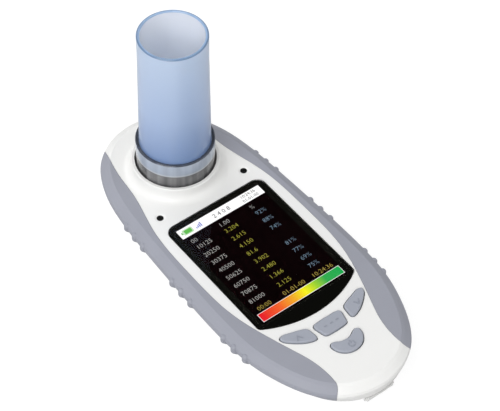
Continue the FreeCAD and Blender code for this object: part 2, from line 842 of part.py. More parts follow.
def keypad_mat():
    """A silicone sheet on a skirt round the switches, with a hole for each key's stem."""
    y0, y1 = from_near(mat_near_from_near), from_near(mat_head_from_near)
    sheet = rounded_box(mat_half_width, y0, y1, board_top, mat_top, mat_corner)
    inside = rounded_box(mat_half_width - mat_skirt, y0 + mat_skirt, y1 - mat_skirt,
                         board_top - 1, mat_top - mat_thickness, mat_corner - mat_skirt)
    holes = [cylinder(mat_hole_radius, board_top, mat_top + 1, x, y) for _, (x, y) in keys().values()]
    return sheet.cut(inside).cut(joined(holes))


def display_window():
    return window_solid(0.0, glass_bottom, glass_height)


def window_gasket():
    ring = window_solid(-slip, ledge_height, glass_bottom)
    return ring.cut(panel_block(panel_fit, ledge_height - 1, glass_bottom + 1))


def display_panel():
    return panel_block(0.0, panel_top - panel_thickness, panel_top)


def display_backlight():
    y1 = from_flow(backlight_top_from_flow)
    y0 = y1 - backlight_length
    return rounded_box(backlight_width / 2, y0, y1, backlight_top - backlight_thickness, backlight_top,
                       backlight_corner)


def display_flex():
    """The display's flat lead: out under the backlight's near end and down to its connector."""
    top = backlight_top - backlight_thickness
    foot = board_top + flex_connector_height
    y = from_flow(flex_bend_from_flow)
    bend = (top - foot) / 2
    t = flex_thickness
    outer = cylinder(bend, -flex_width / 2, flex_width / 2)
    inner = cylinder(bend - t, -flex_width / 2 - 1, flex_width / 2 + 1)
    loop = outer.cut(inner).common(box(0, bend + 1, -bend - 1, bend + 1, -flex_width, flex_width))
    upper = box(-flex_upper_run, 0, bend - t, bend, -flex_width / 2, flex_width / 2)
    lower = box(-flex_lower_run, 0, -bend, -bend + t, -flex_width / 2, flex_width / 2)
    flex = loop.fuse([upper, lower])
    flex.rotate(Vector(0, 0, 0), Vector(1, 0, 0), 90)
    flex.rotate(Vector(0, 0, 0), Vector(0, 0, 1), -90)
    return move(flex, 0, y, foot + bend)


def battery():
    half = battery_width / 2
    y = from_flow(battery_centre_from_flow)
    block = box(-half, half, y - battery_length / 2, y + battery_length / 2,
                battery_height, battery_height + battery_thickness)
    long_edges = [edge for edge in block.Edges if abs(edge.BoundBox.YLength - battery_length) < 0.001]
    return block.makeFillet(battery_edge, long_edges)


def battery_pad():
    half = battery_width / 2 - pad_side_margin
    y = from_flow(battery_centre_from_flow)
    reach = battery_length / 2 - pad_end_margin
    return box(-half, half, y - reach, y + reach, wall, battery_height)


def battery_plug():
    """The battery's plug in its board socket, under the board."""
    y = from_flow(battery_plug_from_flow)
    half = battery_plug_length / 2
    return box(battery_plug_x[0], battery_plug_x[1], y - half, y + half,
               board_height - battery_plug_height, board_height)


def turbine_socket():
    socket = tube(socket_inner, socket_outer, socket_bottom, socket_top, flow_y)
    flange = tube(socket_outer - joint_overlap, socket_outer + sensor_ring_width * sensor_flange_share,
                  sensor_board_base - slip - sensor_flange_thickness, sensor_board_base - slip, flow_y)
    pieces = [flange]
    reach = math.hypot(face_screw_x, face_screw_from_flow)
    ear_base = socket_top - socket_ear_thickness
    for x, y in face_screw_places():
        angle = math.degrees(math.atan2(y - flow_y, x))
        arm = box(socket_inner + joint_overlap, reach, -socket_ear_radius, socket_ear_radius,
                  ear_base, socket_top)
        pieces.append(radial(arm, angle))
        pieces.append(cylinder(socket_ear_radius, ear_base, socket_top, x, y))
    socket = socket.fuse(pieces)
    groove_radius = lug_radius + lug_clearance
    low = lug_centre_height - lug_height / 2 - lug_clearance
    high = lug_centre_height + lug_height / 2 + lug_clearance
    spread = lug_angle + lug_slot_angle
    cuts = []
    for start in (0.0, 180.0):
        cuts.append(ring_sector(socket_inner - joint_overlap, groove_radius, low, high,
                                start - spread / 2, twist_angle + spread))
        cuts.append(ring_sector(socket_inner - joint_overlap, groove_radius, low, socket_top + 1,
                                start + twist_angle - spread / 2, spread))
    for angle in sensor_angles + [angle + 180.0 for angle in sensor_angles]:
        hole = Part.makeCylinder(sensor_lens_radius + sensor_board_gap, 2 * socket_inner,
                                 Vector(0, 0, rotor_centre_height), Vector(1, 0, 0))
        cuts.append(radial(hole, angle))
    for x, y in face_screw_places():
        cuts.append(cylinder(screw_shank_radius + slip, ear_base - 1, socket_top + 1, x, y))
    return socket.cut(joined(cuts))


def sensor_board():
    inner = socket_outer + sensor_board_gap
    return tube(inner, inner + sensor_ring_width,
                sensor_board_base, sensor_board_base + sensor_board_thickness, flow_y)


def light_sensors(angles):
    parts = []
    half = sensor_body / 2
    start = socket_outer + sensor_gap
    for angle in angles:
        body = box(start, start + sensor_body_depth, -half, half,
                   rotor_centre_height - half, rotor_centre_height + half)
        lens = Part.makeCylinder(sensor_lens_radius, start - socket_inner - sensor_gap,
                                 Vector(socket_inner + sensor_gap, 0, rotor_centre_height), Vector(1, 0, 0))
        parts.append(radial(body.fuse(lens), angle))
    return Part.makeCompound(parts)


def turbine_barrel():
    """The clear tube of the turbine, with the mouthpiece's seat, the swirlers' seats and the lugs."""
    seat = mouthpiece_radius + mouthpiece_fit
    throat = flow_radius - bore_step
    edge = rim_round
    profile = [(outlet_bore, barrel_bottom), (barrel_radius, barrel_bottom), (barrel_radius, collar_bottom),
               (collar_radius, collar_bottom), (collar_radius, collar_top - edge),
               (collar_radius - edge, collar_top), (seat, collar_top), (seat, mouthpiece_seat),
               (throat, mouthpiece_seat), (throat, inlet_swirler_top + slip),
               (flow_radius, inlet_swirler_top + slip), (flow_radius, outlet_swirler_top + slip),
               (outlet_bore, outlet_swirler_top + slip)]
    barrel = move(revolved(profile, 0), 0, flow_y, 0)
    lugs = [ring_sector(barrel_radius - 0.4, lug_radius, lug_centre_height - lug_height / 2,
                        lug_centre_height + lug_height / 2, start - lug_angle / 2, lug_angle)
            for start in (0.0, 180.0)]
    groove = tube(barrel_radius - 2 * seal_radius + slip, barrel_radius + 2,
                  seal_height - seal_radius - 0.1, seal_height + seal_radius + 0.1, flow_y)
    return barrel.fuse(lugs).cut(groove)


def turbine_seal():
    return Part.makeTorus(barrel_radius - seal_radius + 2 * slip, seal_radius,
                          Vector(0, flow_y, seal_height), Vector(0, 0, 1))


def twisted_vane(root, tip, base, top, twist):
    """A thin blade from root to tip that turns as it rises."""
    wires = []
    for step in range(vane_steps + 1):
        share = step / vane_steps
        angle = math.radians(twist * share)
        c, s = math.cos(angle), math.sin(angle)
        half = vane_thickness / 2
        corners = []
        for r, t in ((root, -half), (tip, -half), (tip, half), (root, half)):
            corners.append(Vector(r * c - t * s, r * s + t * c, base + (top - base) * share))
        wires.append(Part.makePolygon(corners + corners[:1]))
    return Part.makeLoft(wires, True, True)


def swirler(base, outer, twist, bearing_low):
    """A fixed set of twisted vanes between a hub and a ring. The hub holds a bearing at one end."""
    top = base + swirler_height
    inner = outer - swirler_ring
    ring = tube(inner, outer, base, top, 0)
    nose = hub_radius - hub_nose
    if bearing_low:
        hub = [(0, base), (hub_radius, base), (hub_radius, top - hub_nose), (nose, top), (0, top)]
        pocket = cylinder(jewel_radius + slip, base - 1, base + jewel_length + slip)
    else:
        hub = [(0, base), (nose, base), (hub_radius, base + hub_nose), (hub_radius, top), (0, top)]
        pocket = cylinder(jewel_radius + slip, top - jewel_length - slip, top + 1)
    hub = revolved(hub, 0)
    vanes = []
    for index in range(vane_count):
        vane = twisted_vane(hub_radius * 0.7, inner + swirler_ring / 2, base + 1.0, top - 1.0, twist)
        vane.rotate(Vector(0, 0, 0), Vector(0, 0, 1), 360 * index / vane_count)
        vanes.append(vane)
    return move(ring.fuse([hub] + vanes).cut(pocket), 0, flow_y, 0)


def bearing(base, open_low):
    """A cup that one end of the shaft turns in."""
    cup = cylinder(jewel_radius, base, base + jewel_length, 0, flow_y)
    hole = shaft_radius + shaft_clearance
    if open_low:
        return cup.cut(cylinder(hole, base - 1, base + jewel_hole_depth, 0, flow_y))
    return cup.cut(cylinder(hole, base + jewel_length - jewel_hole_depth, base + jewel_length + 1, 0, flow_y))


def rotor_shaft():
    low = outlet_swirler_top - jewel_hole_depth + shaft_end_gap
    high = inlet_swirler_base + jewel_hole_depth - shaft_end_gap
    return cylinder(shaft_radius, low, high, 0, flow_y)


def rotor_vane():
    """The flat blade that the swirling air turns, with a sleeve on the shaft."""
    half = rotor_height / 2
    low, high = rotor_centre_height - half, rotor_centre_height + half
    span = rotor_span / 2
    cut = rotor_corner
    shape = [(-span, low + cut), (-span + cut, low), (span - cut, low), (span, low + cut),
             (span, high - cut), (span - cut, high), (-span + cut, high), (-span, high - cut)]
    corners = [Vector(x, -rotor_thickness / 2, z) for x, z in shape]
    blade = Part.Face(Part.makePolygon(corners + corners[:1])).extrude(Vector(0, rotor_thickness, 0))
    sleeve = cylinder(rotor_sleeve_radius, low, high)
    bore = cylinder(shaft_radius + slip / 2, low - 1, high + 1)
    return move(blade.fuse(sleeve).cut(bore), 0, flow_y, 0)


def retaining_ring():
    return tube(outlet_bore - retaining_ring_wall, outlet_bore - slip,
                barrel_bottom, outlet_swirler_base - slip, flow_y)


def mouthpiece():
    """A plain tapered tube with rounded rims, straight for a short way at the mouth end."""
    low, high = mouthpiece_bottom, mouthpiece_top
    bend = high - mouth_land
    t = mouthpiece_wall
    edge = rim_round
    profile = [(mouthpiece_radius - t, low), (mouthpiece_radius, low), (mouthpiece_radius, collar_top),
               (mouth_end_radius, bend), (mouth_end_radius, high - edge), (mouth_end_radius - edge, high),
               (mouth_end_radius - t + edge, high), (mouth_end_radius - t, high - edge),
               (mouth_end_radius - t, bend), (mouthpiece_radius - t, collar_top)]
    return move(revolved(profile, 0), 0, flow_y, 0)


def cross_slot(x, y, head, z0, z1):
    """The cross for the screwdriver. Its arms are a share of the head's radius."""
    reach = screw_slot_share * head
    half = screw_slot_width / 2
    along = box(x - reach, x + reach, y - half, y + half, z0, z1)
    return along.fuse(box(x - half, x + half, y - reach, y + reach, z0, z1))


def face_screws():
    """Countersunk in the face, through the shell into the ears of the turbine socket."""
    screws = []
    top = face_height - face_screw_dish
    for x, y in face_screw_places():
        head = cylinder(face_screw_radius, top - face_screw_head + slip, top, x, y)
        shank = cylinder(screw_shank_radius, top - face_screw_length, top - face_screw_head / 2, x, y)
        cross = cross_slot(x, y, face_screw_radius, top - screw_slot_depth, top + screw_slot_depth)
        screws.append(head.fuse(shank).cut(cross))
    return Part.makeCompound(screws)


def case_screws():
    """Up through the rear shell's bosses into those of the front shell."""
    screws = []
    low = screw_seat - case_screw_head_thickness
    for x, y in case_screw_places():
        head = cylinder(case_screw_radius, low, screw_seat - slip, x, y)
        shank = cylinder(screw_shank_radius, screw_seat - slip * 2, low + case_screw_length, x, y)
        cross = cross_slot(x, y, case_screw_radius, low - screw_slot_depth, low + screw_slot_depth)
        screws.append(head.fuse(shank).cut(cross))
    return Part.makeCompound(screws)


def all_pieces():
    grip = right_grip()
    pieces = {
        "front_shell": front_shell(),
        "rear_shell": rear_shell(),
        "left_grip": mirrored(grip),
        "right_grip": grip,
        "window_gasket": window_gasket(),
        "display_window": display_window(),
        "display_panel": display_panel(),
        "display_backlight": display_backlight(),
        "display_flex": display_flex(),
        "main_board": main_board(),
        "board_chips": board_chips(),
        "radio_module": radio_module(),
        "key_switches": key_switches(),
        "keypad_mat": keypad_mat(),
        "charging_port": charging_port(),
        "port_tongue": port_tongue(),
        "port_cover": port_cover(),
        "battery": battery(),
        "battery_pad": battery_pad(),
        "battery_plug": battery_plug(),
        "turbine_socket": turbine_socket(),
        "sensor_board": sensor_board(),
        "infrared_emitters": light_sensors(sensor_angles),
        "infrared_receivers": light_sensors([angle + 180.0 for angle in sensor_angles]),
        "face_screws": face_screws(),
        "case_screws": case_screws(),
        "turbine_barrel": turbine_barrel(),
        "inlet_swirler": swirler(inlet_swirler_base, flow_radius - slip, vane_twist, True),
        "outlet_swirler": swirler(outlet_swirler_base, outlet_bore - slip, -vane_twist, False),
        "inlet_bearing": bearing(inlet_swirler_base, True),
        "outlet_bearing": bearing(outlet_swirler_top - jewel_length, False),
        "turbine_seal": turbine_seal(),
        "retaining_ring": retaining_ring(),
        "rotor_vane": rotor_vane(),
        "rotor_shaft": rotor_shaft(),
        "mouthpiece": mouthpiece(),
    }
    for name, (points, centre) in keys().items():
        pieces[name] = key(points, centre)
    return pieces


os.makedirs("parts", exist_ok=True)
for name, shape in all_pieces().items():
    shape.exportStep("parts/" + name + ".step")
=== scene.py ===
# %% [markdown]
# A handheld spirometer, dressed for its portrait.
# The solid model comes in as a fixed frame: every shell, key and screw is already where it belongs.
# This script gives each surface its finish, lights the display, and raises the small marks on the keys.

# %% Load the frame
import math

import bmesh
import bpy
from mathutils import Matrix, Vector


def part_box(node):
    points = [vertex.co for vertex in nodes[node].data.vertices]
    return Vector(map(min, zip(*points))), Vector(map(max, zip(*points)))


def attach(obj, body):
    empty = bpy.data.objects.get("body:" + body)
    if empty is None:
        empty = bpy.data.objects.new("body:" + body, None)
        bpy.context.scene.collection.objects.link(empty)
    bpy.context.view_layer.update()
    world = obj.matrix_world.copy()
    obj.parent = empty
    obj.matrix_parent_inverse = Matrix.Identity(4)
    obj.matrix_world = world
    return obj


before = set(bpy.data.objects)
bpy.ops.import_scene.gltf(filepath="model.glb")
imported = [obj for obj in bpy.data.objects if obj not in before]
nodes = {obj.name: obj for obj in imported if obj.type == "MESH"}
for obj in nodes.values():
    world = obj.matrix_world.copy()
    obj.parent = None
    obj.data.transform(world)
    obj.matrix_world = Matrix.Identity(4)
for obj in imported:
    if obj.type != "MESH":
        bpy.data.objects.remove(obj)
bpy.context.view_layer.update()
mm = 0.001

# %% [markdown]
# Reading places off the frame keeps the script honest: if the solid model changes, these follow. The
# breathing tube stands on its own axis, and the lit picture hangs from the top edge of its panel.

# %% Places from the frame
def middle(node):
    low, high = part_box(node)
    return (low + high) / 2


tube_middle = middle("mouthpiece")
tube_low, tube_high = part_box("mouthpiece")
tube_length = tube_high.z - tube_low.z
collar_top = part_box("turbine_barrel")[1].z
glass_low, glass_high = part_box("display_window")
panel_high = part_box("display_panel")[1]
key_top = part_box("menu_key")[1].z
print("tube axis at y", round(tube_middle.y / mm, 2), "mm; glass from", round(glass_low.z / mm, 2), "mm up")

# %% [markdown]
# Node trees are wordy. These helpers add a node, set its sockets and link what feeds them, so that each
# material below reads as a short recipe.

# %% Helpers for node trees
def feed(tree, node, inputs):
    """Feed a node's inputs, by name or number: another node's output is linked, a plain value is set."""
    for key, value in inputs.items():
        if isinstance(value, bpy.types.NodeSocket):
            tree.links.new(value, node.inputs[key])
        else:
            node.inputs[key].default_value = value


def add_node(tree, kind, inputs=None, **settings):
    """A new node with its settings made and its inputs fed."""
    node = tree.nodes.new("ShaderNode" + kind)
    for name, value in settings.items():
        setattr(node, name, value)
    feed(tree, node, inputs or {})
    return node


def spread(tree, value, from_low=0, from_high=1, to_low=0, to_high=1):
    """A value carried over from one range to another, and held at its ends."""
    node = add_node(tree, "MapRange", {"Value": value, "From Min": from_low, "From Max": from_high,
                                       "To Min": to_low, "To Max": to_high})
    return node.outputs["Result"]


def mix_colours(tree, share, first, second):
    """The colour that lies between two, by a share from 0 to 1."""
    node = add_node(tree, "Mix", data_type="RGBA")
    feed(tree, node, {0: share, 6: first, 7: second})
    return node.outputs[2]


def colour_ramp(tree, value, stops, interpolation="LINEAR"):
    """The colour at a value, from stops that rise from 0 to 1."""
    node = add_node(tree, "ValToRGB", {"Fac": value})
    node.color_ramp.interpolation = interpolation
    elements = node.color_ramp.elements
    while len(elements) < len(stops):
        elements.new(1.0)
    for index, (position, colour) in enumerate(stops):
        elements[index].color = (*colour, 1)
        elements[index].position = position
    return node.outputs["Color"]


def new_material(name):
    """A material, its node tree and its main shader."""
    material = bpy.data.materials.new(name)
    material.use_nodes = True
    return material, material.node_tree, material.node_tree.nodes["Principled BSDF"]


# %% [markdown]
# The camera stands where the photographer stood: in front and to the left of the case, looking down at
# about fifty degrees through a long lens, so that the upright tube hardly tapers.

# %% Camera
camera_place = Vector((-285.5, -355.6, 585.3)) * mm
camera_azimuth = math.radians(-38.705)
camera_elevation = math.radians(49.704)
camera_roll = math.radians(1.294)
camera_lens = 128.17

back = Vector((math.cos(camera_elevation) * math.sin(camera_azimuth),
               -math.cos(camera_elevation) * math.cos(camera_azimuth),
               math.sin(camera_elevation)))
level_right = Vector((math.cos(camera_azimuth), math.sin(camera_azimuth), 0))
level_up = back.cross(level_right)
right = math.cos(camera_roll) * level_right + math.sin(camera_roll) * level_up
up = math.cos(camera_roll) * level_up - math.sin(camera_roll) * level_right

camera_data = bpy.data.cameras.new("camera")
camera_data.lens = camera_lens
camera_data.sensor_width = 36
camera_data.sensor_fit = "HORIZONTAL"
camera_data.clip_start = 0.01
camera = bpy.data.objects.new("camera", camera_data)
turn = Matrix((right, up, back)).transposed()
camera.matrix_world = Matrix.Translation(camera_place) @ turn.to_4x4()
bpy.context.scene.collection.objects.link(camera)
bpy.context.scene.camera = camera
bpy.context.scene.view_settings.view_transform = "Standard"
print("camera", round((camera_place - tube_middle).length / mm), "mm from the tube")

# %% [markdown]
# Studio light is large soft lamps in a pale room. The stronger stands at the left of the camera, so
# that the slopes on that side are brighter than the flat face. The next is behind the object and lifts
# the far end, and a weak one opens the shadows on the right.

# %% Lamps
def softbox(name, place, aim, width, height, power):
    """A rectangular lamp at a place, turned to face its aim."""
    data = bpy.data.lights.new(name, "AREA")
    data.shape = "RECTANGLE"
    data.size = width
    data.size_y = height
    data.energy = power
    lamp = bpy.data.objects.new(name, data)
    facing = (Vector(place) - Vector(aim)).to_track_quat("Z", "Y")
    lamp.matrix_world = Matrix.Translation(place) @ facing.to_matrix().to_4x4()
    bpy.context.scene.collection.objects.link(lamp)
    print("lamp", name, power, "watts")


case_middle = (0, 0, 0.02)
softbox("window_light", (-1.90, -0.90, 1.60), case_middle, 1.8, 1.8, 43)
softbox("back_light", (-0.10, 2.10, 1.80), case_middle, 1.8, 1.8, 21)
softbox("fill_light", (1.30, -1.60, 1.30), case_middle, 1.4, 1.4, 5)

# %% [markdown]
# The room is pale, and plain white where the camera looks past the object. A photographer hangs a black
# card where a screen would mirror the room, and so does this one. The card has a soft edge, and light
# that falls on matt surfaces doesn't see it.

# %% Room
room_strength = 0.60
card_strength = 0.01
card_inner_angle = math.radians(20)
card_outer_angle = math.radians(40)
screen_mirror = Vector((-back.x, -back.y, back.z))


def make_room():
    world = bpy.data.worlds.new("room")
    bpy.context.scene.world = world
    world.use_nodes = True
    tree = world.node_tree
    tree.nodes.clear()
    place = add_node(tree, "TexCoord").outputs["Generated"]
    aside = add_node(tree, "VectorMath", {0: place, 1: screen_mirror}, operation="DOT_PRODUCT")
    card = spread(tree, aside.outputs["Value"], math.cos(card_outer_angle), math.cos(card_inner_angle),
                  room_strength, card_strength)
    path = add_node(tree, "LightPath").outputs
    room = add_node(tree, "Mix", {"Factor": path["Is Diffuse Ray"], "A": card, "B": room_strength})
    seen = add_node(tree, "Mix", {"Factor": path["Is Camera Ray"], "A": room.outputs["Result"], "B": 1})
    light = add_node(tree, "Background", {"Color": (1, 1, 1, 1), "Strength": seen.outputs["Result"]})
    add_node(tree, "OutputWorld", {"Surface": light.outputs[0]})
    print("room at", room_strength, "with a card at", card_strength)


make_room()

# %% [markdown]
# The object stands on a white table. To the camera the table is lifted to plain white with a little
# emission, and enough of its plain surface is left for the object's shadow to show. It lies a hair
# below the case, so that the two flat faces don't share a plane.

# %% Floor
table_white = (0.62, 0.62, 0.62, 1)
table_shade = (0.24, 0.24, 0.24, 1)
table_lift = 0.82
table_drop = 0.05 * mm
table_half = 4


def floor_material():
    material, tree, _ = new_material("white_table")
    tree.nodes.clear()
    plain = add_node(tree, "BsdfDiffuse", {"Color": table_white})
    shade = add_node(tree, "BsdfDiffuse", {"Color": table_shade})
    lift = add_node(tree, "Emission", {"Strength": table_lift})
    lifted = add_node(tree, "AddShader", {0: shade.outputs[0], 1: lift.outputs[0]})
    path = add_node(tree, "LightPath").outputs
    seen = add_node(tree, "Math", {0: path["Is Camera Ray"], 1: path["Is Transmission Ray"]},
                    operation="MAXIMUM")
    mix = add_node(tree, "MixShader", {"Fac": seen.outputs[0], 1: plain.outputs[0], 2: lifted.outputs[0]})
    add_node(tree, "OutputMaterial", {"Surface": mix.outputs[0]})
    return material


def make_floor():
    shape = bmesh.new()
    bmesh.ops.create_grid(shape, x_segments=1, y_segments=1, size=table_half)
    bmesh.ops.translate(shape, verts=shape.verts, vec=(0, 0, -table_drop))
    mesh = bpy.data.meshes.new("table")
    shape.to_mesh(mesh)
    shape.free()
    floor = bpy.data.objects.new("table", mesh)
    floor.data.materials.append(floor_material())
    bpy.context.scene.collection.objects.link(floor)
    print("table", table_half * 2, "m across")


make_floor()

# %% [markdown]
# Moulded plastic is never one flat colour. Under a lens it has a very fine grain from the mould, a
# slow drift of tone, and patches that are a touch glossier. One node group holds all of that, and each
# finish places it with its own numbers.

# %% The moulded skin, shared by every plastic
grain_depth = 0.03 * mm


def moulded_skin():
    tree = bpy.data.node_groups.new("moulded_skin", "ShaderNodeTree")
    for name, kind, value in [("Colour", "Color", (0.8, 0.8, 0.8, 1)), ("Shade", "Color", (0.7, 0.7, 0.7, 1)),
                              ("Drift Scale", "Float", 40.0), ("Grain Scale", "Float", 3000.0),
                              ("Grain Height", "Float", 0.3), ("Gloss Low", "Float", 0.3),
                              ("Gloss High", "Float", 0.4), ("Edge Radius", "Float", 0.2 * mm)]:
        socket = tree.interface.new_socket(name, in_out="INPUT", socket_type="NodeSocket" + kind)
        socket.default_value = value
    for name, kind in [("Colour", "Color"), ("Roughness", "Float"), ("Normal", "Vector")]:
        tree.interface.new_socket(name, in_out="OUTPUT", socket_type="NodeSocket" + kind)
    given = tree.nodes.new("NodeGroupInput").outputs
    place = add_node(tree, "TexCoord").outputs["Object"]
    drift = add_node(tree, "TexNoise", {"Vector": place, "Scale": given["Drift Scale"], "Detail": 3})
    drift = drift.outputs["Fac"]
    grain = add_node(tree, "TexNoise", {"Vector": place, "Scale": given["Grain Scale"], "Detail": 2})
    edge = add_node(tree, "Bevel", {"Radius": given["Edge Radius"]}, samples=4)
    bump = add_node(tree, "Bump", {"Strength": given["Grain Height"], "Distance": grain_depth,
                                   "Height": grain.outputs["Fac"], "Normal": edge.outputs["Normal"]})
    feed(tree, tree.nodes.new("NodeGroupOutput"), {
        "Colour": mix_colours(tree, drift, given["Colour"], given["Shade"]),
        "Roughness": spread(tree, drift, 0, 1, given["Gloss Low"], given["Gloss High"]),
        "Normal": bump.outputs["Normal"]})
    return tree


skin = moulded_skin()


def moulded(name, colour, shade, gloss=(0.3, 0.4), drift=40.0, grain=3000.0, height=0.3, edge=0.2, **sockets):
    """A plastic, rubber or metal with the moulded skin. Other sockets are set on the shader itself."""
    material, tree, shader = new_material(name)
    group = add_node(tree, "Group", {
        "Colour": (*colour, 1), "Shade": (*shade, 1), "Drift Scale": drift, "Grain Scale": grain,
        "Grain Height": height, "Gloss Low": gloss[0], "Gloss High": gloss[1],
        "Edge Radius": edge * mm}, node_tree=skin)
    feed(tree, shader, {"Base Color": group.outputs["Colour"], "Roughness": group.outputs["Roughness"],
                        "Normal": group.outputs["Normal"]})
    feed(tree, shader, {socket.replace("_", " "): value for socket, value in sockets.items()})
    return material


def dress(material, *names):
    """Give these solids of the frame this material."""
    for name in names:
        slots = nodes[name].material_slots
        for slot in slots:
            slot.material = material
        if not slots:
            nodes[name].data.materials.append(material)
    print(material.name, "on", ", ".join(names))


# %% [markdown]
# The shells are satin white. The grips are soft-touch rubber over them, blue-grey and much duller, with
# a coarser grain. The keys are the same grey, a little smoother where thumbs polish them.

# %% Shells, grips and keys
white_plastic = moulded("white_plastic", (0.83, 0.83, 0.82), (0.79, 0.79, 0.775), gloss=(0.3, 0.42),
                        drift=30, grain=2600, height=0.12, edge=0.25)
dress(white_plastic, "front_shell", "rear_shell")
soft_grip = moulded("soft_grip", (0.308, 0.318, 0.368), (0.282, 0.291, 0.338), gloss=(0.5, 0.62),
                    drift=60, grain=3400, height=0.5, edge=0.2)
dress(soft_grip, "left_grip", "right_grip")
key_plastic = moulded("key_plastic", (0.345, 0.366, 0.424), (0.32, 0.34, 0.395), gloss=(0.38, 0.5),
                      drift=90, grain=3400, height=0.25, edge=0.3)
dress(key_plastic, "left_key", "menu_key", "right_key", "power_key")
cover_plastic = moulded("cover_plastic", (0.74, 0.74, 0.73), (0.68, 0.68, 0.67), gloss=(0.45, 0.55),
                        drift=120, grain=3400, height=0.3, edge=0.15)
dress(cover_plastic, "port_cover")

# %% [markdown]
# The mouthpiece is thin polypropylene, milky blue. It lets light through but no picture, so it is part
# clear and part matt, with a trace of glow as painted light for the light that wanders inside its wall.
# Its outside is painted deeper towards its foot, as painted shade where no light comes up through the
# bore, and its inner wall is painted paler, as painted light. The cut end is painted a deeper blue and
# its outer edge darker still, as painted shade.

# %% Mouthpiece
mouth_land = 12 * mm
mouth_bore_radius = 12.95 * mm
foot_bore_radius = 13.7 * mm
# Painted shade: the outside darkens towards the foot. Painted light: the pale inner wall. Painted shade: the
# cut end and its outer edge.
outer_blues_with_foot_shade = [(0.0, (0.195, 0.325, 0.63)), (0.45, (0.48, 0.615, 0.87)), (1.0, (0.60, 0.72, 0.90))]
inner_wall_painted_light = (0.93, 0.94, 0.97, 1)
inner_skin = (0.04 * mm, 0.14 * mm)
rim_tint_and_shade = (0.37, 0.53, 0.77, 1)
rim_edge_painted_shade = (0.17, 0.28, 0.46, 1)
rim_edge = (0.6 * mm, 0.9 * mm)
rim_depth = (0.6 * mm, 0.4 * mm)
tube_gloss = (0.26, 0.38)


def mouthpiece_material():
    material, tree, shader = new_material("mouthpiece_plastic")
    place = add_node(tree, "TexCoord").outputs["Object"]
    centred = add_node(tree, "Mapping", {"Vector": place, "Location": (0, -tube_middle.y, -tube_low.z)})
    centred = centred.outputs["Vector"]
    height = add_node(tree, "SeparateXYZ", {"Vector": centred}).outputs["Z"]
    flat = add_node(tree, "VectorMath", {0: centred, 1: (1, 1, 0)}, operation="MULTIPLY")
    radius = add_node(tree, "VectorMath", {0: flat.outputs["Vector"]}, operation="LENGTH")
    bore = spread(tree, height, collar_top - tube_low.z, tube_length - mouth_land,
                  foot_bore_radius, mouth_bore_radius)
    depth = add_node(tree, "Math", {0: radius.outputs["Value"], 1: bore}, operation="SUBTRACT").outputs[0]
    outside = colour_ramp(tree, spread(tree, height, 0, tube_length), outer_blues_with_foot_shade)
    inside = spread(tree, depth, inner_skin[1], inner_skin[0])
    wall = mix_colours(tree, inside, outside, inner_wall_painted_light)
    rim = mix_colours(tree, spread(tree, depth, rim_edge[0], rim_edge[1]), rim_tint_and_shade, rim_edge_painted_shade)
    near_rim = spread(tree, height, tube_length - rim_depth[0], tube_length - rim_depth[1])
    colour = mix_colours(tree, near_rim, wall, rim)
    cloud = add_node(tree, "TexNoise", {"Vector": place, "Scale": 120})
    feed(tree, shader, {
        "Base Color": colour, "Emission Color": colour, "Emission Strength": 0.025,
        "Roughness": spread(tree, cloud.outputs["Fac"], 0, 1, *tube_gloss),
        "Transmission Weight": 0.4, "IOR": 1.35, "Coat Weight": 0.45, "Coat Roughness": 0.08})
    return material


dress(mouthpiece_material(), "mouthpiece")

# %% [markdown]
# Clear parts get a smooth skin with a breath of haze, full transmission and their own index of
# refraction. The swirlers are acrylic. The cover glass has an index lower than any real glass, in place
# of the coating that keeps a screen from mirroring the room.

# %% Clear plastic and glass
haze_low = 0.6
haze_high = 1.4
haze_tint = 0.92


def clear_material(name, tint, roughness, ior):
    material, tree, shader = new_material(name)
    place = add_node(tree, "TexCoord").outputs["Object"]
    haze = add_node(tree, "TexNoise", {"Vector": place, "Scale": 200, "Detail": 3}).outputs["Fac"]
    hazy_tint = (*(part * haze_tint for part in tint), 1)
    feed(tree, shader, {
        "Base Color": mix_colours(tree, haze, (*tint, 1), hazy_tint),
        "Roughness": spread(tree, haze, 0, 1, roughness * haze_low, roughness * haze_high),
        "Transmission Weight": 1, "IOR": ior})
    return material


acrylic = clear_material("clear_plastic", (0.80, 0.82, 0.84), 0.06, 1.49)
dress(acrylic, "inlet_swirler", "outlet_swirler", "retaining_ring")
cover_glass = clear_material("window_glass", (0.98, 0.98, 0.98), 0.004, 1.15)
dress(cover_glass, "display_window")

# %% [markdown]
# The collar is the top of the turbine's barrel. Its colour is painted in bands of light and shade: pale
# where the tube stands in it, with a painted highlight line at the foot of that; painted shade above the
# case's dark hole; and painted shade at its lip, for the dark inside. Upright streaks of painted light
# and shade in the dark part stand for the vanes and ribs that show through it. Its trace of glow is
# painted light.

# %% Collar
collar_foot = 30 * mm
collar_light_and_shade = [(0.0, (0.17, 0.17, 0.175)), (0.48, (0.23, 0.23, 0.235)), (0.53, (0.72, 0.76, 0.82)),
                (0.58, (0.52, 0.59, 0.69)), (0.965, (0.56, 0.62, 0.72)), (0.985, (0.08, 0.09, 0.115)),
                (1.0, (0.08, 0.09, 0.115))]
streaks_end = (0.50, 0.44)
streaks_above = 0.2
streak_length = 0.04
streak_noise = (0.35, 0.65)
streak_shade = (0.55, 1.65)


